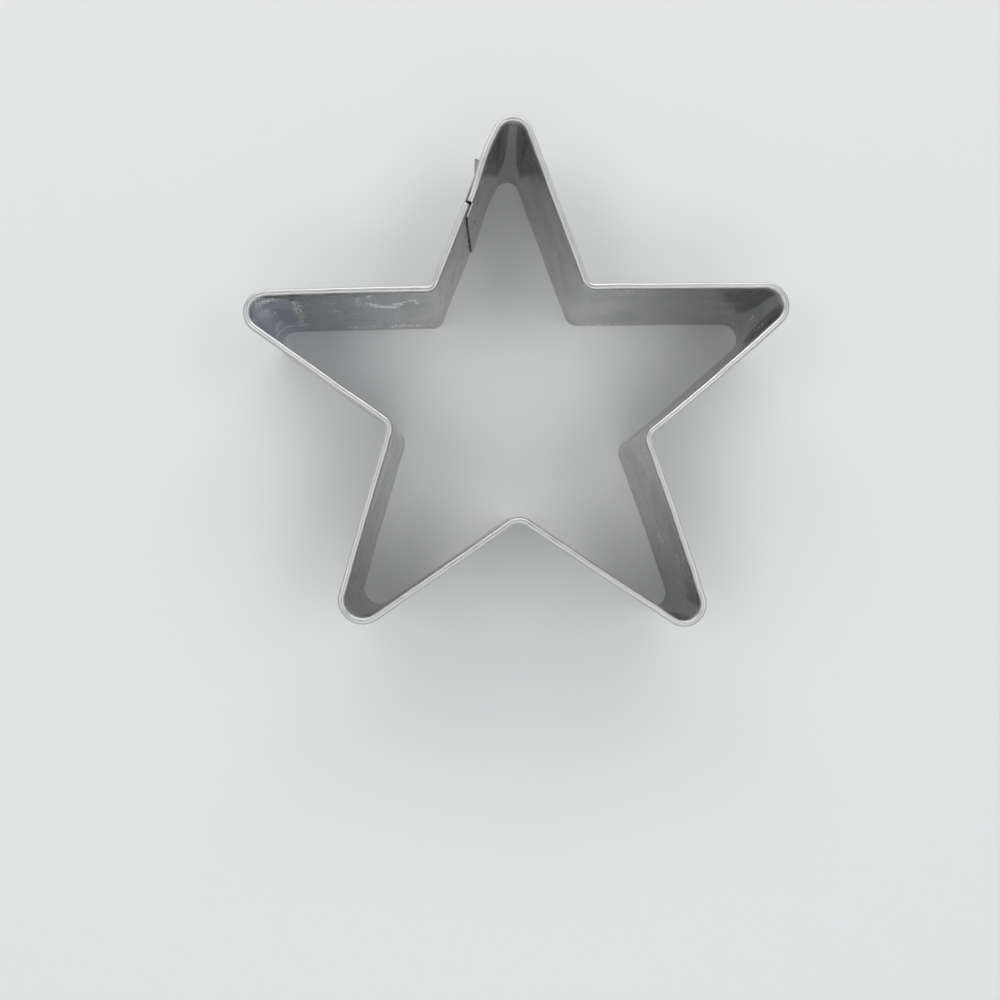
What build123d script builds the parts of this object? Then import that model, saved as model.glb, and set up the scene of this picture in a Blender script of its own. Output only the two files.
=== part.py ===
from build123d import *
import math
import os

# A star-shaped cookie cutter: one thin metal strip, bent on edge into a five-pointed star.
# The strip's top edge is rolled outwards into a safety hem, and its bottom edge cuts the dough.
# Its two ends lap on one leg of the first point, where a spot weld holds them.
# X points right, Y towards the first point, Z up from the cutting edge. Lengths are in millimetres.

# The star, measured to the sharp corners of the wall's inner face
TIP_REACH = 57.0
VALLEY_REACH = 23.3
TIP_BEND = 2.75
VALLEY_BEND = 2.8
POINTS = 5

# The strip
HEIGHT = 25.4
SHEET = 0.3
RIM_WIDTH = 1.35
HEM_DEPTH = 2.8
HEM_LEAN_DEGREES = 14.0

# The lap of the strip's two ends. The inner ply's hem stops short of its slanted wall.
LAP_GAP = 0.15
LAP_FROM_TIP = 21.6
LAP_LENGTH = 11.35
LIP_TOP = 2.7
LIP_BOTTOM = 0.1
NOTCH_GAP = 0.6
TONGUE_LENGTH = 6.0
TONGUE_TOP_DEGREES = 30.0
CURL_LENGTH = 4.05
CURL_BEND = 2.13
TAIL_CLEARANCE = 0.3

# The spot weld
WELD_RADIUS = 1.2
WELD_FIT = 0.02
WELD_INSET = 0.3
WELD_HEIGHT = 14.0
DENT_RADIUS = 0.85
DENT_DEPTH = 0.06

# How the hand-bent star strays from an even one, counterclockwise from the first point.
# Reaches, bends and bows are shares of the sizes above, and swings are in degrees.
tip_reach_shares = (0.977, 0.999, 1.005, 1.034, 1.027)
tip_swings = (0.7, 1.3, 0.0, 1.6, 1.35)
tip_bend_shares = (0.89, 1.05, 1.2, 1.08, 1.17)
valley_reach_shares = (1.010, 1.001, 0.984, 1.059, 0.970)
valley_swings = (4.5, -2.2, 0.5, -1.9, 1.6)
valley_bend_shares = (0.85, 1.0, 1.35, 1.0, 1.0)
# Each leg bows outwards by a share of its length, from the first valley round to the last
leg_bow_shares = (0.0045, 0.004, 0.0035, 0.003, 0.004, 0.0075, 0.011, 0.001)


def on_circle(reach, degrees):
    """The point at this reach and angle from the star's middle"""
    return Vector(reach, 0).rotate(Axis.Z, degrees)


def meet(point, direction, other_point, other_direction):
    """Where two lines in the plane of the strip's path meet"""
    across = direction.cross(other_direction).Z
    along = (other_point - point).cross(other_direction).Z / across
    return point + direction * along


# Sharp corners of the star, counterclockwise
TURN = 360 / POINTS
tips = [
    on_circle(TIP_REACH * share, 90 + TURN * place + swing)
    for place, (share, swing) in enumerate(zip(tip_reach_shares, tip_swings))
]
valleys = [
    on_circle(VALLEY_REACH * share, 90 + TURN * (place + 0.5) + swing)
    for place, (share, swing) in enumerate(zip(valley_reach_shares, valley_swings))
]

# The lapped leg runs from the first valley up to the first point. The outer ply follows it,
# and the inner ply lies one sheet and the gap further in.
lap_step = SHEET + LAP_GAP
up_leg = (tips[0] - valleys[0]).normalized()
outward = up_leg.rotate(Axis.Z, 90)
last_leg = (tips[0] - valleys[-1]).normalized()
first_tip = meet(valleys[0] - outward * lap_step, up_leg, valleys[-1], last_leg)
inner_end = first_tip - up_leg * LAP_FROM_TIP
notch = inner_end + outward * lap_step - up_leg * NOTCH_GAP


def strip_path():
    """The line of the wall's inner face, from the outer ply's notch to the end of the inner hem"""
    corners = [valleys[0]]
    for tip, valley in zip(tips[1:], valleys[1:]):
        corners += [tip, valley]
    legs = [Line(notch, corners[0])]
    for start, end, bow in zip(corners, corners[1:], leg_bow_shares):
        legs.append(SagittaArc(start, end, -bow * (end - start).length))
    legs += [Line(corners[-1], first_tip), Line(first_tip, inner_end)]
    closing = Line(inner_end, notch)
    outline = make_face(Curve() + legs + closing).face()

    bends = [(point, VALLEY_BEND * share) for point, share in zip(valleys, valley_bend_shares)]
    bends += [
        (point, TIP_BEND * share)
        for point, share in zip([first_tip] + tips[1:], tip_bend_shares)
    ]
    for point, radius in bends:
        corner = min(outline.vertices(), key=lambda vertex: (Vector(vertex) - point).length)
        outline = outline.fillet_2d(radius, [corner])
    edges = outline.outer_wire().edges()
    closing_middle = closing @ 0.5
    edges = sorted(edges, key=lambda edge: (edge @ 0.5 - closing_middle).length)
    return Wire(edges[1:])


def hem_skin(top_degrees):
    """The outer skin of the hem, from this angle on its roll down to the leaf's lower edge"""
    radius = RIM_WIDTH / 2
    middle = Vector(radius, HEIGHT - radius)
    roll = CenterArc(middle, radius, top_degrees, -top_degrees - HEM_LEAN_DEGREES)
    downwards = roll % 1
    drop = (roll @ 1).Y - (HEIGHT - HEM_DEPTH)
    leaf = Line(roll @ 1, roll @ 1 + downwards * (drop / -downwards.Y))
    return [roll, leaf]


def wall_skin(top):
    """The inner skin of the wall, from the cutting edge up to this height"""
    return [Line(Vector(0, 0), Vector(0, top))]


def bend_strip(skin, line):
    """The solid that one sheet with this skin makes along this line from the notch"""
    across = Plane(origin=notch, x_dir=outward, z_dir=up_leg)
    section = offset(Wire(skin), amount=SHEET, side=Side.RIGHT, closed=True)
    return sweep(across * make_face(section.edges()), path=line)


def make_lip():
    """The inner ply's wall where it runs on past its hem, inside the outer ply's"""
    top = HEIGHT - RIM_WIDTH / 2
    outline = Polyline((0, 0), (LIP_BOTTOM, 0), (LIP_TOP, top), (0, top), close=True)
    down_leg = Plane(origin=inner_end, x_dir=-up_leg, z_dir=outward)
    return extrude(down_leg * make_face(outline), amount=SHEET)


def make_band():
    """The whole strip: the star with its hem, the lip, and the outer ply's tongue and curled tail"""
    star = bend_strip(wall_skin(HEIGHT - RIM_WIDTH / 2) + hem_skin(180), strip_path())
    tongue = bend_strip(hem_skin(TONGUE_TOP_DEGREES), Line(notch, notch + up_leg * TONGUE_LENGTH))

    tail_top = HEIGHT - HEM_DEPTH - TAIL_CLEARANCE
    flat_tail = Line(notch, notch + up_leg * (NOTCH_GAP + LAP_LENGTH - CURL_LENGTH))
    curl_degrees = math.degrees(CURL_LENGTH / CURL_BEND)
    curl = JernArc(flat_tail @ 1, up_leg, CURL_BEND, curl_degrees)
    tail = bend_strip(wall_skin(tail_top), Wire([flat_tail] + [curl]))
    return star + make_lip() + tongue + tail


def make_weld():
    """A fused nugget through both plies, dented on both faces by the welding tips"""
    to_middle = (DENT_RADIUS**2 - DENT_DEPTH**2) / (2 * DENT_DEPTH)
    dent_radius = to_middle + DENT_DEPTH
    upright = (Align.CENTER, Align.CENTER, Align.MIN)
    nugget = Cylinder(WELD_RADIUS - WELD_FIT, thickness, align=upright)
    for face_height in (-to_middle, thickness + to_middle):
        nugget -= Pos(0, 0, face_height) * Sphere(dent_radius)
    return weld_plane * nugget


# The weld starts on the inner face of the lap and goes out through both plies
thickness = lap_step + SHEET
weld_start = inner_end + up_leg * WELD_INSET + Vector(0, 0, WELD_HEIGHT)
weld_plane = Plane(origin=weld_start, z_dir=outward)
band = make_band() - weld_plane * Cylinder(WELD_RADIUS, 2 * thickness)
pieces = {"cutter_band": band, "spot_weld": make_weld()}

# The origin is under the middle of the star's outline
middle = band.bounding_box().center()
os.makedirs("parts", exist_ok=True)
for name, piece in pieces.items():
    placed = Pos(-middle.X, -middle.Y, 0) * piece
    placed.label = name
    export_step(placed, f"parts/{name}.step")
    print(name, "volume", round(piece.volume, 3), "size", placed.bounding_box().size)
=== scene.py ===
import math

import bpy
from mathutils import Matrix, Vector, geometry, noise


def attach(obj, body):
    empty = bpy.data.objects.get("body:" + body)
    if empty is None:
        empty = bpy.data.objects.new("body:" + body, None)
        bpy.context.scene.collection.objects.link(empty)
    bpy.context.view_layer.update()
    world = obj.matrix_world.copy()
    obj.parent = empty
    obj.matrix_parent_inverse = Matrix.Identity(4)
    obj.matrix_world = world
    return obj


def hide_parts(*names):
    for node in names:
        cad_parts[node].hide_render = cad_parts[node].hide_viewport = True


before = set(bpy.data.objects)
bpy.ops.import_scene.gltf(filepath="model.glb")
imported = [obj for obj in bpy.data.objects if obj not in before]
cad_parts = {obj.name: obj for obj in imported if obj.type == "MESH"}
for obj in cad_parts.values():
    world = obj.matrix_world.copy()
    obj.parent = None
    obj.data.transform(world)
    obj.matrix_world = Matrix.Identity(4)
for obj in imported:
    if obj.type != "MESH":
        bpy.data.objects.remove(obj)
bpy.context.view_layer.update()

# Lengths are in millimetres until a mesh is made, as in the part's source
MM = 0.001

# The star, measured to the sharp corners of the wall's inner face
TIP_REACH = 57.0
VALLEY_REACH = 23.3
TIP_BEND = 2.75
VALLEY_BEND = 2.8
POINTS = 5
MIDDLE = Vector((0.500477, 3.88112, 0))

# The strip
HEIGHT = 25.4
SHEET = 0.3
RIM_WIDTH = 1.35
HEM_DEPTH = 2.8
HEM_LEAN_DEGREES = 14.0

# The lap of the strip's two ends. The inner ply's wall runs on past its hem as a slanted lip.
LAP_GAP = 0.15
LAP_FROM_TIP = 21.6
LAP_LENGTH = 11.35
LIP_TOP = 2.7
LIP_BOTTOM = 0.1
NOTCH_GAP = 0.6
TONGUE_LENGTH = 6.0
TONGUE_TOP_DEGREES = 30.0
CURL_LENGTH = 4.05
CURL_BEND = 2.13
TAIL_CLEARANCE = 0.3

# Both plies stand out between the first point's sharp corner and the weld
BULGE = 0.6
BULGE_START = 1.5
BULGE_END = 20.8

# The spot weld
WELD_RADIUS = 1.2
WELD_INSET = 0.3
WELD_HEIGHT = 14.0
WELD_SIDES = 48
WELD_HEAT_REACH = 3.4
# Height of the weld mark above the face, by share of its radius
weld_mark_heights = (
    (0.0, -0.05),
    (0.25, -0.046),
    (0.5, -0.03),
    (0.7, 0.0),
    (0.84, 0.03),
    (0.93, 0.024),
    (1.0, -0.04),
)

# How the hand-bent star strays from an even one, counterclockwise from the first point
tip_reach_shares = (0.977, 0.999, 1.005, 1.034, 1.027)
tip_swings = (0.7, 1.3, 0.0, 1.6, 1.35)
tip_bend_shares = (0.89, 1.05, 1.2, 1.08, 1.17)
valley_reach_shares = (1.010, 1.001, 0.984, 1.059, 0.970)
valley_swings = (4.5, -2.2, 0.5, -1.9, 1.6)
valley_bend_shares = (0.85, 1.0, 1.35, 1.0, 1.0)
# Each leg bows outwards by a share of its length, from the notch round to the inner ply's end
leg_bow_shares = (0.0, 0.0045, 0.004, 0.0035, 0.003, 0.004, 0.0075, 0.011, 0.001, 0.0, 0.0)

# Dried white marks on the wall's inner face, as (strength, width, points of along and up)
deposits = (
    (0.9, 0.5, ((52.6, 5.5), (50.6, 4.4), (47.8, 4.8), (46.1, 5.3), (44.7, 5.9))),
    (0.55, 1.6, ((50.2, 24.0), (49.6, 22.2), (48.3, 22.7))),
    (0.5, 1.5, ((50.9, 18.2), (49.9, 15.4))),
    (0.6, 0.9, ((50.2, 8.9), (51.4, 7.0))),
    (0.6, 1.0, ((44.0, 21.0), (44.7, 15.9), (45.1, 10.4), (46.1, 7.0))),
    (0.5, 0.8, ((38.4, 13.8), (37.6, 14.0))),
    (0.75, 1.3, ((30.3, 18.4), (28.9, 17.1), (27.4, 16.4), (26.1, 16.3), (24.9, 18.2))),
    (0.95, 0.7, ((28.1, 16.8), (27.4, 16.4), (26.1, 16.3))),
    (0.85, 0.5, ((25.1, 18.2), (22.8, 20.0), (21.8, 20.6), (21.0, 18.0))),
    (0.9, 0.5, ((29.7, 23.6), (30.0, 22.8))),
    (0.5, 0.8, ((32.2, 22.4), (32.6, 18.1))),
    (0.55, 0.9, ((37.7, 2.4), (33.4, 2.6), (31.1, 2.8))),
    (0.7, 1.1, ((27.5, 2.4), (24.4, 2.8), (21.7, 2.1))),
    (0.5, 0.8, ((19.9, 3.0), (17.2, 1.8))),
    (0.5, 1.0, ((306.6, 1.9), (301.3, 1.1), (295.9, 1.5))),
    (0.35, 2.0, ((305.2, 22.4), (301.9, 22.6), (298.3, 22.0))),
    (0.4, 2.2, ((270.8, 10.4), (269.4, 11.8), (267.0, 15.6))),
    (0.55, 0.5, ((275.1, 3.4), (272.2, 2.2), (270.6, 1.9))),
    (0.6, 0.6, ((213.4, 10.1), (211.7, 12.8))),
    (0.5, 0.8, ((209.2, 19.4), (208.8, 19.0))),
    (0.4, 2.0, ((231.8, 22.9), (229.1, 21.6))),
    (0.45, 1.6, ((87.5, 19.0), (87.5, 11.0))),
    (0.4, 1.4, ((92.0, 19.0), (95.4, 22.8))),
    (0.5, 0.6, ((119.8, 2.0), (123.2, 0.9), (125.7, 2.0))),
    (0.45, 1.0, ((0.7, 20.0), (1.0, 9.0))),
)
MARK_CORE = 0.4  # a mark has its full strength up to this share of its width, and then fades

# The bluish film that water left round the left point and along the leg before it,
# as (strength, start and end along the strip)
films = ((1.0, 44.4, 56.9), (0.4, 24.0, 46.0))
FILM_TOP = 24.3
FILM_TOP_FADE = 1.2
FILM_START_FADE = 0.8
FILM_END_FADE = 3
FILM_SLANT = 0.06
FILM_SLANT_LEVEL = 15
FILM_TOP_RAG = 0.3

# Smooth strays of the hand-bent sheet and of the film's edges, as (most, wavelength, seed)
WALL_SWELL = (0.16, 13, 1.7)
WALL_SWELL_STRETCH = 0.8
WALL_RIPPLE = (0.05, 5, 4.2)
WALL_HOLD = 0.75  # how far the rim stiffens the wall below it
HEM_SWELL = (0.07, 6, 8.1)
HEM_RIPPLE = (0.03, 2.2, 12.6)
SECTION_STRAY = (0.05, 7, 21.3)
LEAF_SWAY = (0.06, 4, 31.9)
LEAF_EDGE = (0.10, 5, 35.2)
FILM_RAG = (0.8, 3.0, 51.0)
FILM_FRAY = (0.4, 1.1, 53.0)
WELD_RAG = 0.05
WELD_RAG_SIZE = 0.7
WELD_CENTRE = 0.002  # the innermost ring of the mark is this small instead of a point

# The strip strays nowhere near its ends, where the weld holds both plies flat
CALM_START = 3
CALM_END = 14
CALM_FADE = 8

WORN_EDGE_WIDTH = 0.07
WORN_EDGE_ANGLE = 50

# Where the camera stands, from the middle of the even star
CAMERA_PLACE = Vector((-8.784, -26.314, 162.95))
CAMERA_TILT_DEGREES = (2.34, -2.275)
SENSOR = 36.0
LENS = 27.0
CLIP_START = 10

# Soft panels round the cutter, in metres: name, bearing and height in degrees, size, radiance
PANEL_REACH = 0.8
panels = (
    ("key", 270, 48, (0.8, 0.3), 1.5),
    ("left_panel", 185, 55, (0.5, 0.3), 2.1),
    ("right_panel", -5, 55, (0.5, 0.3), 2.1),
    ("back_panel", 92, 33, (1.1, 0.3), 2.8),
)
# The sky's colour by the height of the way to it, from the horizon to overhead
sky_tones = (
    (0.0, (0.6, 0.61, 0.63)),
    (0.55, (0.44, 0.45, 0.47)),
    (0.94, (0.4, 0.41, 0.43)),
    (1.0, (0.36, 0.37, 0.39)),
)
FLOOR_HALF = 1000
FLOOR_COLOR = (0.78, 0.78, 0.77)
FLOOR_ROUGHNESS = 0.85

# Colours of the bare sheet, and of what wear, heat and water left on it, with two marks of painted
# light: a highlight on the rim and a glint along the cutting edge
SHEET_COLOR = (0.6, 0.6, 0.59)
LIGHT_STEEL = (0.52, 0.52, 0.51, 1)
DARK_STEEL = (0.41, 0.415, 0.42, 1)
# The rim's steel is lighter than the wall's tones: partly polish from wear, partly a painted highlight
# on the lit top of the roll
RIM_POLISH_AND_HIGHLIGHT_TONE = (0.62, 0.62, 0.61, 1)
GRAIN_TONE = (0.33, 0.33, 0.32, 1)
STRAW_TINT = (0.5, 0.4, 0.26, 1)
SCORCH_TINT = (0.3, 0.3, 0.33, 1)
FILM_TINT = (0.6, 0.68, 0.76, 1)
SCRATCH_TONE = (0.78, 0.78, 0.77, 1)
# Lighter band above the cutting edge: partly a worn bright burr, partly a painted glint
WORN_EDGE_AND_GLINT_TONE = (0.74, 0.73, 0.71, 1)
HAZE_TONE = (0.74, 0.75, 0.75, 1)
CRUST_TONE = (0.95, 0.95, 0.93, 1)
WELD_COLOR = (0.46, 0.45, 0.43)
WELD_LIGHT = (0.52, 0.51, 0.49, 1)
WELD_DARK = (0.38, 0.36, 0.33, 1)
WELD_SCORCH = (0.24, 0.2, 0.17, 1)

# The sheet's relief, and the weld's, in millimetres from the lowest to the highest
SHEET_RELIEF = 0.02
WELD_RELIEF = 0.03
SKINS_APART = 61.0  # sets the outer skin's patterns apart from the inner skin's
# Three sets of fine scratches, as (angle in degrees, shift of their pattern)
scratch_sets = ((22, 3.0), (-34, 19.0), (78, 37.0))

# How finely the strip is divided
LEG_STEP = 0.5
BEND_STEPS = 22
WALL_ROWS = 44
ROLL_ROWS = 22
LEAF_ROWS = 5
TONGUE_STEPS = 14
TAIL_STEPS = 34
LIP_STEPS = 6


def on_circle(reach, degrees):
    angle = math.radians(degrees)
    return Vector((reach * math.cos(angle), reach * math.sin(angle), 0))


def meet(point, direction, other_point, other_direction):
    """Where two lines in the plane of the strip's path meet"""
    across = direction.cross(other_direction).z
    return point + direction * ((other_point - point).cross(other_direction).z / across)


def right_of(direction):
    """Outwards, for something that goes round the star counterclockwise"""
    return Vector((direction.y, -direction.x, 0))


TURN = 360 / POINTS
tips = [
    on_circle(TIP_REACH * share, 90 + TURN * place + swing) - MIDDLE
    for place, (share, swing) in enumerate(zip(tip_reach_shares, tip_swings))
]
valleys = [
    on_circle(VALLEY_REACH * share, 90 + TURN * (place + 0.5) + swing) - MIDDLE
    for place, (share, swing) in enumerate(zip(valley_reach_shares, valley_swings))
]
lap_step = SHEET + LAP_GAP
up_leg = (tips[0] - valleys[0]).normalized()
outward = -right_of(up_leg)
last_leg = (tips[0] - valleys[-1]).normalized()
first_tip = meet(valleys[0] - outward * lap_step, up_leg, valleys[-1], last_leg)
inner_end = first_tip - up_leg * LAP_FROM_TIP
notch = inner_end + outward * lap_step - up_leg * NOTCH_GAP
weld_middle = inner_end + up_leg * WELD_INSET + Vector((0, 0, WELD_HEIGHT))


def bowed(start, end, bow, share):
    """The point at this share of a leg, and the leg's direction there"""
    leg = end - start
    rise = 4 * bow * share * (1 - share)
    slope = 4 * bow * (1 - 2 * share)
    along = leg.normalized()
    return start + leg * share + right_of(leg) * rise, (along + right_of(along) * slope).normalized()


def strip_path():
    """Points of the wall's inner face, from the outer ply's notch round to the inner ply's end"""
    corners = [valleys[0]]
    bends = [VALLEY_BEND * valley_bend_shares[0]]
    for place in range(1, POINTS):
        corners += [tips[place], valleys[place]]
        bends += [TIP_BEND * tip_bend_shares[place], VALLEY_BEND * valley_bend_shares[place]]
    corners.append(first_tip)
    bends.append(TIP_BEND * tip_bend_shares[0])
    stops = [notch] + corners + [inner_end]
    cuts = [0.0]
    for place, bend in enumerate(bends):
        before = bowed(stops[place], stops[place + 1], leg_bow_shares[place], 1)[1]
        after = bowed(stops[place + 1], stops[place + 2], leg_bow_shares[place + 1], 0)[1]
        cuts.append(bend * math.tan(before.angle(after) / 2))
    cuts.append(0.0)

    points = []
    for place, (start, end) in enumerate(zip(stops, stops[1:])):
        length = (end - start).length
        first = cuts[place] / length
        last = 1 - cuts[place + 1] / length
        steps = round((last - first) * length / LEG_STEP)
        for step in range(steps):
            share = first + (last - first) * step / steps
            points.append(bowed(start, end, leg_bow_shares[place], share)[0])
        leave, heading = bowed(start, end, leg_bow_shares[place], last)
        if place == len(bends):
            points.append(leave)
            break
        next_end = stops[place + 2]
        next_share = cuts[place + 1] / (next_end - end).length
        join, next_heading = bowed(end, next_end, leg_bow_shares[place + 1], next_share)
        handle = 4 / 3 * math.tan(heading.angle(next_heading) / 4) * bends[place]
        arc = geometry.interpolate_bezier(
            leave, leave + heading * handle, join - next_heading * handle, join, BEND_STEPS
        )
        points += [Vector((*point[:2], 0)) for point in arc[:-1]]
    return points


def tail_line():
    """Points of the outer ply's tail: straight along the leg, then curled outwards"""
    flat = NOTCH_GAP + LAP_LENGTH - CURL_LENGTH
    points = []
    for step in range(TAIL_STEPS + 1):
        run = (flat + CURL_LENGTH) * step / TAIL_STEPS
        turned = max(0.0, run - flat) / CURL_BEND
        reach = min(run, flat) + CURL_BEND * math.sin(turned)
        bulge = tip_bulge(LAP_FROM_TIP + NOTCH_GAP - reach) * (1 - max(0.0, run - flat) / CURL_LENGTH)
        points.append(notch + up_leg * reach + outward * (CURL_BEND * (1 - math.cos(turned)) + bulge))
    return points


def hem_profile():
    """The section's outer skin as (out, up, lean in degrees), from the cutting edge to the leaf's end"""
    radius = RIM_WIDTH / 2
    top = HEIGHT - radius
    profile = [(0.0, top * row / WALL_ROWS, 180.0) for row in range(WALL_ROWS)]
    for row in range(ROLL_ROWS + 1):
        degrees = 180 - (180 + HEM_LEAN_DEGREES) * row / ROLL_ROWS
        angle = math.radians(degrees)
        profile.append((radius + radius * math.cos(angle), top + radius * math.sin(angle), degrees))
    lean = math.radians(HEM_LEAN_DEGREES)
    out, up, degrees = profile[-1]
    drop = (up - (HEIGHT - HEM_DEPTH)) / math.cos(lean)
    for row in range(1, LEAF_ROWS + 1):
        reach = drop * row / LEAF_ROWS
        profile.append((out - math.sin(lean) * reach, up - math.cos(lean) * reach, degrees))
    return profile


PROFILE = hem_profile()
ROWS = len(PROFILE)
TONGUE_ROW = min(range(ROWS), key=lambda row: abs(PROFILE[row][2] - TONGUE_TOP_DEGREES))
TAIL_TOP = HEIGHT - HEM_DEPTH - TAIL_CLEARANCE
TAIL_ROW = min(range(WALL_ROWS), key=lambda row: abs(PROFILE[row][1] - TAIL_TOP))


def wave(along, up, size, seed):
    """Smooth stray from -1 to 1 with this wavelength"""
    return noise.noise(Vector((along / size, up / size, seed)))


def stray(kind, along, up=0.0):
    most, size, seed = kind
    return most * wave(along, up, size, seed)


def wall_stray(along, up):
    """How far the thin wall stands out from its true face, most at the cutting edge"""
    slack = 1 - WALL_HOLD * (up / HEIGHT) ** 2
    return slack * (stray(WALL_SWELL, along, up * WALL_SWELL_STRETCH) + stray(WALL_RIPPLE, along, up))


def hem_stray(along):
    return stray(HEM_SWELL, along) + stray(HEM_RIPPLE, along)


def ease(value):
    """A smooth step from 0 to 1"""
    value = min(1.0, max(0.0, value))
    return value * value * (3 - 2 * value)


def deposit_at(along, up):
    """Strength of the dried marks at a point of the inner face"""
    here = Vector((along, up, 0))
    most = 0.0
    for strength, width, line in deposits:
        reach = width * (1 + MARK_CORE)
        places = [place for place, _ in line]
        if not min(places) - reach < along < max(places) + reach:
            continue
        for start, end in zip(line, line[1:]):
            near, share = geometry.intersect_point_line(here, Vector((*start, 0)), Vector((*end, 0)))
            if share < 0:
                near = Vector((*start, 0))
            elif share > 1:
                near = Vector((*end, 0))
            most = max(most, strength * (1 - ease((here - near).length / width - MARK_CORE)))
    return most


def film_at(along, up):
    """Strength of the bluish film at a point of the inner face, ragged at its ends and its top"""
    ragged = stray(FILM_RAG, along, up) + stray(FILM_FRAY, along, up)
    slant = FILM_SLANT * (up - FILM_SLANT_LEVEL)
    most = 0.0
    for strength, start, end in films:
        rise = ease((along + slant + ragged - start) / FILM_START_FADE)
        most = max(most, strength * rise * ease((end + ragged - along) / FILM_END_FADE))
    return most * ease((FILM_TOP + FILM_TOP_RAG * ragged - up) / FILM_TOP_FADE)


def calm(along, length):
    """0 where the weld holds both plies flat, rising to 1 on the rest of the strip"""
    return ease((along - CALM_START) / CALM_FADE) * ease((length - CALM_END - along) / CALM_FADE)


def tip_bulge(from_corner):
    """How far both plies stand out between the first point and the weld"""
    share = (from_corner - BULGE_START) / (BULGE_END - BULGE_START)
    return BULGE * math.sin(math.pi * share) ** 2 if 0 < share < 1 else 0.0


class Band:
    """Both skins of the strip, row by row, with the values that its material reads"""

    def __init__(self):
        self.outer = []
        self.inner = []
        self.cells = []
        self.values = {"along": [], "across": [], "deposit": [], "film": [], "heat": []}

    def ring(self, point, direction, along, rows, loose=0.0, bulge=0.0, lip=0.0):
        """One station of the strip, or of its lip; gives the numbers of its vertices by row"""
        numbers = {}
        out_way = right_of(direction)
        widen = 1 + stray(SECTION_STRAY, along)
        for row in rows:
            out, up, degrees = PROFILE[row]
            angle = math.radians(degrees)
            share = min(1.0, up / HEIGHT)
            out = out * widen + (wall_stray(along, up) + hem_stray(along) * share**3) * loose + bulge
            down_leaf = max(0, row - WALL_ROWS - ROLL_ROWS) / LEAF_ROWS
            out += stray(LEAF_SWAY, along) * down_leaf
            up += stray(LEAF_EDGE, along) * down_leaf
            beyond = lip * (LIP_BOTTOM + (LIP_TOP - LIP_BOTTOM) * share)
            place = point + out_way * out + direction * beyond
            place.z = up
            normal = out_way * math.cos(angle)
            normal.z = math.sin(angle)
            numbers[row] = len(self.outer)
            self.outer.append(place)
            self.inner.append(place - normal * SHEET)
            self.values["along"].append(along + beyond)
            self.values["across"].append(PROFILE_RUN[row])
            self.values["deposit"].append(deposit_at(along, PROFILE_RUN[row]))
            self.values["film"].append(film_at(along, PROFILE_RUN[row]))
            self.values["heat"].append(1 - ease((place - weld_middle).length / WELD_HEAT_REACH))
        return numbers

    def join(self, first, second):
        rows = sorted(set(first) & set(second))
        for low, high in zip(rows, rows[1:]):
            if high == low + 1:
                self.cells.append((first[low], second[low], second[high], first[high]))

    def build(self, name):
        count = len(self.outer)
        used = {}
        for cell in self.cells:
            used.update(dict.fromkeys(zip(cell, cell[1:] + cell[:1])))
        faces = [tuple(reversed(cell)) for cell in self.cells]
        faces += [tuple(number + count for number in cell) for cell in self.cells]
        for start, end in used:
            if (end, start) not in used:
                faces.append((start, end, end + count, start + count))
        mesh = bpy.data.meshes.new(name)
        mesh.from_pydata([place * MM for place in self.outer + self.inner], [], faces)
        blank = [0.0] * count
        for key, values, outer_values in (
            ("along", self.values["along"], self.values["along"]),
            ("across", self.values["across"], self.values["across"]),
            ("heat", self.values["heat"], self.values["heat"]),
            ("deposit", self.values["deposit"], blank),
            ("film", self.values["film"], blank),
            ("side", blank, [1.0] * count),
        ):
            mesh.attributes.new(key, "FLOAT", "POINT").data.foreach_set("value", values + outer_values)
        mesh.validate()
        mesh.polygons.foreach_set("use_smooth", [True] * len(mesh.polygons))
        return mesh


PROFILE_RUN = [0.0]
for (out, up, _), (next_out, next_up, _) in zip(PROFILE, PROFILE[1:]):
    PROFILE_RUN.append(PROFILE_RUN[-1] + math.hypot(next_out - out, next_up - up))


def directions(points):
    """The travel direction at each point of a line"""
    before = [points[0]] + points[:-1]
    after = points[1:] + [points[-1]]
    return [(end - start).normalized() for start, end in zip(before, after)]


def make_band():
    band = Band()
    path = strip_path()
    runs = [0.0]
    for start, end in zip(path, path[1:]):
        runs.append(runs[-1] + (end - start).length)
    rings = []
    for point, direction, along in zip(path, directions(path), runs):
        from_corner = LAP_FROM_TIP - (runs[-1] - along)
        bulge = tip_bulge(from_corner)
        rings.append(band.ring(point, direction, along, range(ROWS), calm(along, runs[-1]), bulge))
    for step in range(1, LIP_STEPS + 1):
        lip = step / LIP_STEPS
        rings.append(band.ring(inner_end, -up_leg, runs[-1], range(WALL_ROWS + 1), lip=lip))
    for first, second in zip(rings, rings[1:]):
        band.join(first, second)

    tail = tail_line()
    tongue = [
        notch + up_leg * TONGUE_LENGTH * step / TONGUE_STEPS for step in range(TONGUE_STEPS + 1)
    ]
    for line, rows in ((tail, range(TAIL_ROW + 1)), (tongue, range(TONGUE_ROW, ROWS))):
        last = rings[0]
        along = 0.0
        headings = directions(line)
        for place in range(1, len(line)):
            along -= (line[place] - line[place - 1]).length
            ring = band.ring(line[place], -headings[place], along, rows)
            band.join(ring, last)
            last = ring
    mesh = band.build("formed_band")
    piece = bpy.data.objects.new("formed_band", mesh)
    bpy.context.scene.collection.objects.link(piece)
    bevel = piece.modifiers.new("worn_edges", "BEVEL")
    bevel.width = WORN_EDGE_WIDTH * MM
    bevel.segments = 2
    bevel.limit_method = "ANGLE"
    bevel.angle_limit = math.radians(WORN_EDGE_ANGLE)
    return piece


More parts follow.
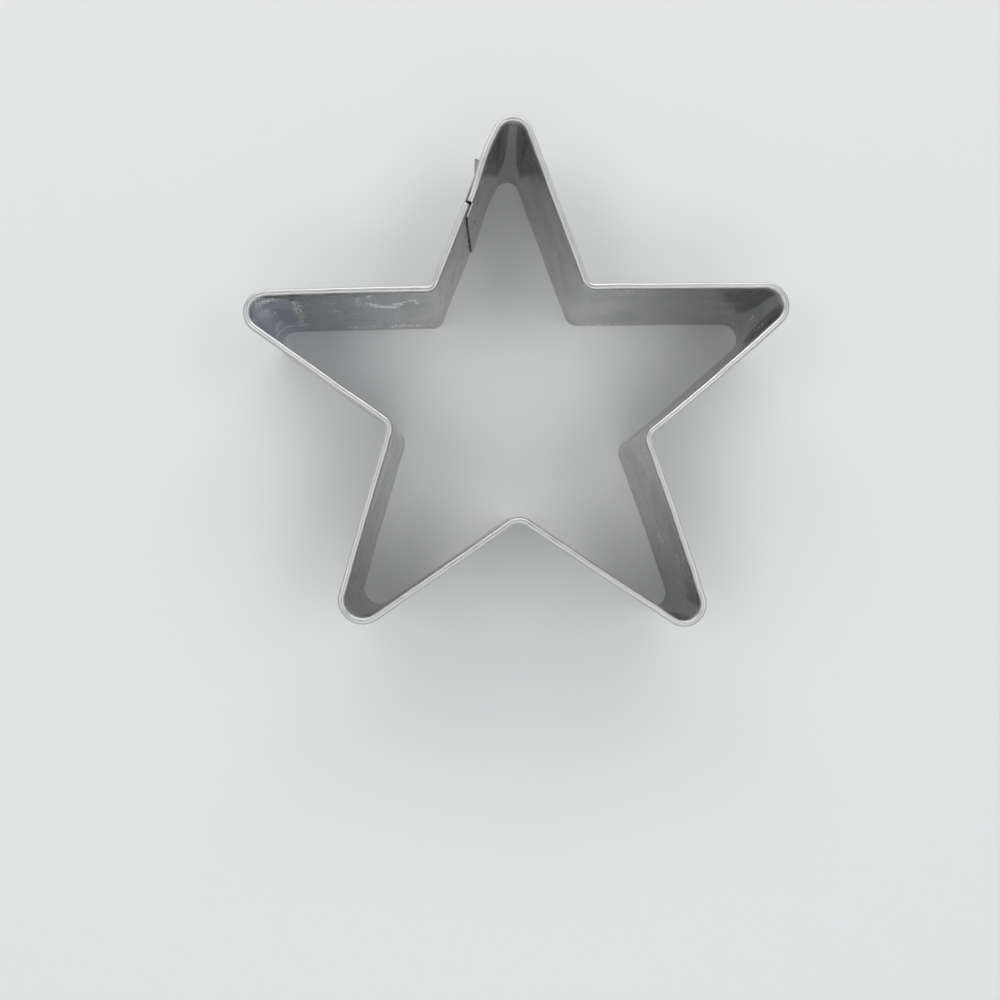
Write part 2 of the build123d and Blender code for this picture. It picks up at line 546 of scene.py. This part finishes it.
def make_weld_mark(name):
    """A fused nugget through both plies, dished on each face inside a low raised ring"""
    thickness = lap_step + SHEET
    faces_out = [(radius, -rise) for radius, rise in weld_mark_heights]
    faces_out += [(radius, thickness + rise) for radius, rise in reversed(weld_mark_heights)]
    places = []
    faces = []
    for ring, (radius, depth) in enumerate(faces_out):
        for side in range(WELD_SIDES):
            angle = math.tau * side / WELD_SIDES
            face = ring // len(weld_mark_heights)
            rag = (WELD_RAG, WELD_RAG_SIZE, face)
            ragged = 1 + stray(rag, math.cos(angle), math.sin(angle))
            reach = max(radius, WELD_CENTRE) * WELD_RADIUS * ragged
            across = up_leg * math.cos(angle) + Vector((0, 0, math.sin(angle)))
            places.append((weld_middle + across * reach + outward * depth) * MM)
            if ring:
                beside = (side + 1) % WELD_SIDES
                low = (ring - 1) * WELD_SIDES
                high = ring * WELD_SIDES
                faces.append((low + side, low + beside, high + beside, high + side))
    last = (len(faces_out) - 1) * WELD_SIDES
    faces.append(tuple(reversed(range(WELD_SIDES))))
    faces.append(tuple(range(last, last + WELD_SIDES)))
    mesh = bpy.data.meshes.new(name)
    mesh.from_pydata(places, [], faces)
    mesh.polygons.foreach_set("use_smooth", [True] * len(mesh.polygons))
    shares = [radius for radius, _ in faces_out for _ in range(WELD_SIDES)]
    mesh.attributes.new("ring", "FLOAT", "POINT").data.foreach_set("value", shares)
    mark = bpy.data.objects.new(name, mesh)
    bpy.context.scene.collection.objects.link(mark)
    return mark


def make_camera():
    """The photograph's view: nearly straight down, from a little left of and below the middle"""
    data = bpy.data.cameras.new("camera")
    data.sensor_width = SENSOR
    data.lens = LENS
    data.clip_start = CLIP_START * MM
    camera = bpy.data.objects.new("camera", data)
    camera.location = (CAMERA_PLACE - MIDDLE) * MM
    camera.rotation_mode = "ZYX"
    camera.rotation_euler = [math.radians(degrees) for degrees in (*CAMERA_TILT_DEGREES, 0.0)]
    bpy.context.scene.collection.objects.link(camera)
    bpy.context.scene.camera = camera


class Finish:
    """A material and the few kinds of node that the finishes here are built from"""

    def __init__(self, name, color, roughness, metallic=0.0):
        self.material = bpy.data.materials.new(name)
        self.material.use_nodes = True
        self.tree = self.material.node_tree
        self.shader = self.tree.nodes["Principled BSDF"]
        self.shader.inputs["Base Color"].default_value = (*color, 1.0)
        self.shader.inputs["Roughness"].default_value = roughness
        self.shader.inputs["Metallic"].default_value = metallic

    def node(self, kind, inputs=(), **settings):
        node = self.tree.nodes.new(kind)
        for key, value in settings.items():
            setattr(node, key, value)
        for socket, value in dict(inputs).items():
            if isinstance(value, bpy.types.NodeSocket):
                self.tree.links.new(value, node.inputs[socket])
            else:
                node.inputs[socket].default_value = value
        return node

    def read(self, name):
        return self.node("ShaderNodeAttribute", attribute_name=name).outputs["Fac"]

    def combine(self, operation, *values):
        return self.node("ShaderNodeMath", enumerate(values), operation=operation).outputs[0]

    def mix_sum(self, *terms):
        """The sum of values, each times its weight"""
        total = None
        for value, weight in terms:
            part = self.combine("MULTIPLY", value, weight)
            total = part if total is None else self.combine("ADD", total, part)
        return total

    def step(self, value, low, high, start=0.0, end=1.0):
        """Goes smoothly from start to end while the value goes from low to high"""
        inputs = {"Value": value, "From Min": low, "From Max": high, "To Min": start, "To Max": end}
        return self.node("ShaderNodeMapRange", inputs, interpolation_type="SMOOTHSTEP").outputs[0]

    def noise(self, vector, scale, detail=2.0, stretch=(1, 1, 1), turn=0.0):
        way = (0, 0, math.radians(turn))
        turned = self.node("ShaderNodeMapping", {"Vector": vector, "Rotation": way}).outputs[0]
        place = self.node("ShaderNodeMapping", {"Vector": turned, "Scale": stretch}).outputs[0]
        inputs = {"Vector": place, "Scale": scale, "Detail": detail}
        return self.node("ShaderNodeTexNoise", inputs).outputs["Fac"]

    def blend(self, share, first, second):
        node = self.node("ShaderNodeMix", data_type="RGBA")
        for socket, value in (("Factor_Float", share), ("A_Color", first), ("B_Color", second)):
            target = next(item for item in node.inputs if item.identifier == socket)
            if isinstance(value, bpy.types.NodeSocket):
                self.tree.links.new(value, target)
            else:
                target.default_value = value
        return next(item for item in node.outputs if item.identifier == "Result_Color")

    def bump(self, height, most):
        inputs = {"Height": height, "Distance": most * MM, "Strength": 1.0}
        return self.node("ShaderNodeBump", inputs).outputs[0]

    def set(self, **sockets):
        for name, value in sockets.items():
            self.tree.links.new(value, self.shader.inputs[name.replace("_", " ")])


def strip_finish():
    """Bright rolled sheet: a fine grain along the strip, scuffs, dried marks, a film, heat tints, a
    painted rim highlight and a painted edge glint
    """
    finish = Finish("strip_metal", SHEET_COLOR, 0.18, 1.0)
    along, across, side = finish.read("along"), finish.read("across"), finish.read("side")
    deposit, film, heat = finish.read("deposit"), finish.read("film"), finish.read("heat")
    apart = finish.combine("MULTIPLY", side, SKINS_APART)
    strip = finish.node("ShaderNodeCombineXYZ", {"X": along, "Y": across, "Z": apart}).outputs[0]

    cloud = finish.noise(strip, 0.09, 3.0)
    smear = finish.noise(strip, 0.35, 4.0)
    grain = finish.noise(strip, 1.0, 3.0, stretch=(0.18, 5.5, 1))
    fine_grain = finish.noise(strip, 1.0, 2.0, stretch=(0.5, 16, 1))
    specks = finish.noise(strip, 1.0, 3.0)
    crumbs = finish.noise(strip, 2.4, 4.0)

    scratches = None
    for turn, shift in scratch_sets:
        shifted = finish.node("ShaderNodeVectorMath", {0: strip, 1: (shift, 0, shift)}).outputs[0]
        line = finish.noise(shifted, 1.0, 1.0, stretch=(0.11, 7.0, 1), turn=turn)
        where = finish.step(finish.noise(shifted, 0.22, 1.0), 0.5, 0.62)
        scratch = finish.combine("MULTIPLY", finish.step(line, 0.68, 0.73), where)
        if scratches is not None:
            scratch = finish.combine("MAXIMUM", scratches, scratch)
        scratches = scratch

    # Dried marks show where their painted strength lifts the crumbs over a threshold
    lifted = finish.mix_sum((specks, 0.8), (crumbs, 2.2), (deposit, 0.78), (film, 0.1))
    crust = finish.step(lifted, 2.01, 2.09)
    dusty = finish.step(deposit, 0.05, 0.9, 0.1, 0.45)
    haze = finish.combine("MULTIPLY", finish.step(smear, 0.35, 0.65), dusty)
    bloom = finish.combine("MULTIPLY", film, finish.step(smear, 0.3, 0.65, 0.6, 1.0))
    # Lighter just above the cutting edge: partly a worn burr, partly a painted glint along the edge
    worn_edge_and_glint = finish.step(across, 0.15, 0.6, 1.0, 0.0)
    rim = finish.step(across, 23.6, 24.8)
    straw = finish.combine("MULTIPLY", finish.step(heat, 0.15, 0.5), finish.step(heat, 0.85, 0.6))
    scorch = finish.step(heat, 0.6, 0.85)

    # From the bare sheet up to what lies on top
    steel = finish.blend(finish.step(cloud, 0.35, 0.68), LIGHT_STEEL, DARK_STEEL)
    for share, strength, tone in (
        # painted highlight: the rim's lighter tone, partly polish from wear
        (rim, 1.0, RIM_POLISH_AND_HIGHLIGHT_TONE),
        (finish.step(grain, 0.4, 0.65), 0.22, GRAIN_TONE),
        (straw, 0.35, STRAW_TINT),
        (scorch, 0.45, SCORCH_TINT),
        (bloom, 0.85, FILM_TINT),
        (scratches, 0.5, SCRATCH_TONE),
        # painted glint along the cutting edge, partly a worn burr
        (worn_edge_and_glint, 0.55, WORN_EDGE_AND_GLINT_TONE),
        (haze, 0.8, HAZE_TONE),
        (crust, 1.0, CRUST_TONE),
    ):
        steel = finish.blend(finish.combine("MULTIPLY", share, strength), steel, tone)

    plain = finish.step(smear, 0.3, 0.75, 0.1, 0.22)
    rough = finish.mix_sum(
        (plain, 1.0),
        (fine_grain, 0.07),
        (rim, 0.2),
        (bloom, 0.3),
        (haze, 0.35),
        (crust, 0.5),
        (worn_edge_and_glint, 0.15),
        (scorch, 0.1),
    )
    coated = finish.mix_sum((crust, 0.95), (haze, 0.5), (bloom, 0.5))
    metal_share = finish.combine("SUBTRACT", 1.0, finish.combine("MINIMUM", coated, 0.95))
    uneven = finish.combine("MULTIPLY", smear, finish.step(rim, 0, 1, 0.8, 1.8))
    relief = finish.mix_sum(
        (grain, 0.35), (fine_grain, 0.12), (scratches, -0.5), (crust, 2.2), (uneven, 1.0)
    )
    normal = finish.bump(relief, SHEET_RELIEF)
    finish.set(Base_Color=steel, Roughness=rough, Metallic=metal_share, Normal=normal)
    return finish.material


def weld_finish():
    """Dull fused metal with a scorched ring and a pitted middle"""
    finish = Finish("weld_metal", WELD_COLOR, 0.36, 1.0)
    ring = finish.read("ring")
    place = finish.node("ShaderNodeTexCoord").outputs["Object"]
    pits = finish.noise(place, 2600.0, 3.0)
    mottle = finish.noise(place, 700.0, 2.0)
    scorch = finish.combine("MULTIPLY", finish.step(ring, 0.5, 0.75), finish.step(ring, 1.0, 0.85))
    tone = finish.blend(finish.step(mottle, 0.35, 0.65), WELD_LIGHT, WELD_DARK)
    tone = finish.blend(finish.combine("MULTIPLY", scorch, 0.6), tone, WELD_SCORCH)
    rough = finish.combine("ADD", 0.26, finish.combine("MULTIPLY", pits, 0.22))
    finish.set(Base_Color=tone, Roughness=rough, Normal=finish.bump(pits, WELD_RELIEF))
    return finish.material


def make_floor():
    mesh = bpy.data.meshes.new("floor")
    half = FLOOR_HALF * MM
    corners = [(-half, -half, 0), (half, -half, 0), (half, half, 0), (-half, half, 0)]
    mesh.from_pydata(corners, [], [(0, 1, 2, 3)])
    floor = bpy.data.objects.new("floor", mesh)
    bpy.context.scene.collection.objects.link(floor)
    mesh.materials.append(Finish("floor", FLOOR_COLOR, FLOOR_ROUGHNESS).material)


def soft_panel(name, bearing, height, size, glow):
    """A panel that faces the middle, placed by its bearing and height in degrees, with this radiance"""
    data = bpy.data.lights.new(name, "AREA")
    data.shape = "RECTANGLE"
    data.size, data.size_y = size
    data.energy = glow * math.pi * size[0] * size[1]
    rise = math.radians(height)
    way = on_circle(math.cos(rise), bearing) + Vector((0, 0, math.sin(rise)))
    lamp = bpy.data.objects.new(name, data)
    lamp.location = way * PANEL_REACH
    lamp.rotation_euler = (-way).to_track_quat("-Z", "Y").to_euler()
    bpy.context.scene.collection.objects.link(lamp)


def make_sky():
    """A plain sky that is palest at the horizon"""
    world = bpy.data.worlds.new("world")
    world.use_nodes = True
    tree = world.node_tree
    way = tree.nodes.new("ShaderNodeTexCoord")
    parts = tree.nodes.new("ShaderNodeSeparateXYZ")
    ramp = tree.nodes.new("ShaderNodeValToRGB")
    while len(ramp.color_ramp.elements) < len(sky_tones):
        ramp.color_ramp.elements.new(1.0)
    for element, (height, color) in zip(ramp.color_ramp.elements, sky_tones):
        element.position = height
        element.color = (*color, 1)
    tree.links.new(way.outputs["Generated"], parts.inputs[0])
    tree.links.new(parts.outputs["Z"], ramp.inputs[0])
    tree.links.new(ramp.outputs[0], tree.nodes["Background"].inputs["Color"])
    bpy.context.scene.world = world


make_camera()
make_floor()
make_sky()
for name, bearing, height, size, glow in panels:
    soft_panel(name, bearing, height, size, glow)
band = make_band()
band.data.materials.append(strip_finish())
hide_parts("cutter_band")
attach(band, "root")
mark = make_weld_mark("weld_mark")
mark.data.materials.append(weld_finish())
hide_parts("spot_weld")
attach(mark, "root")
bpy.context.scene.view_settings.view_transform = "Standard"
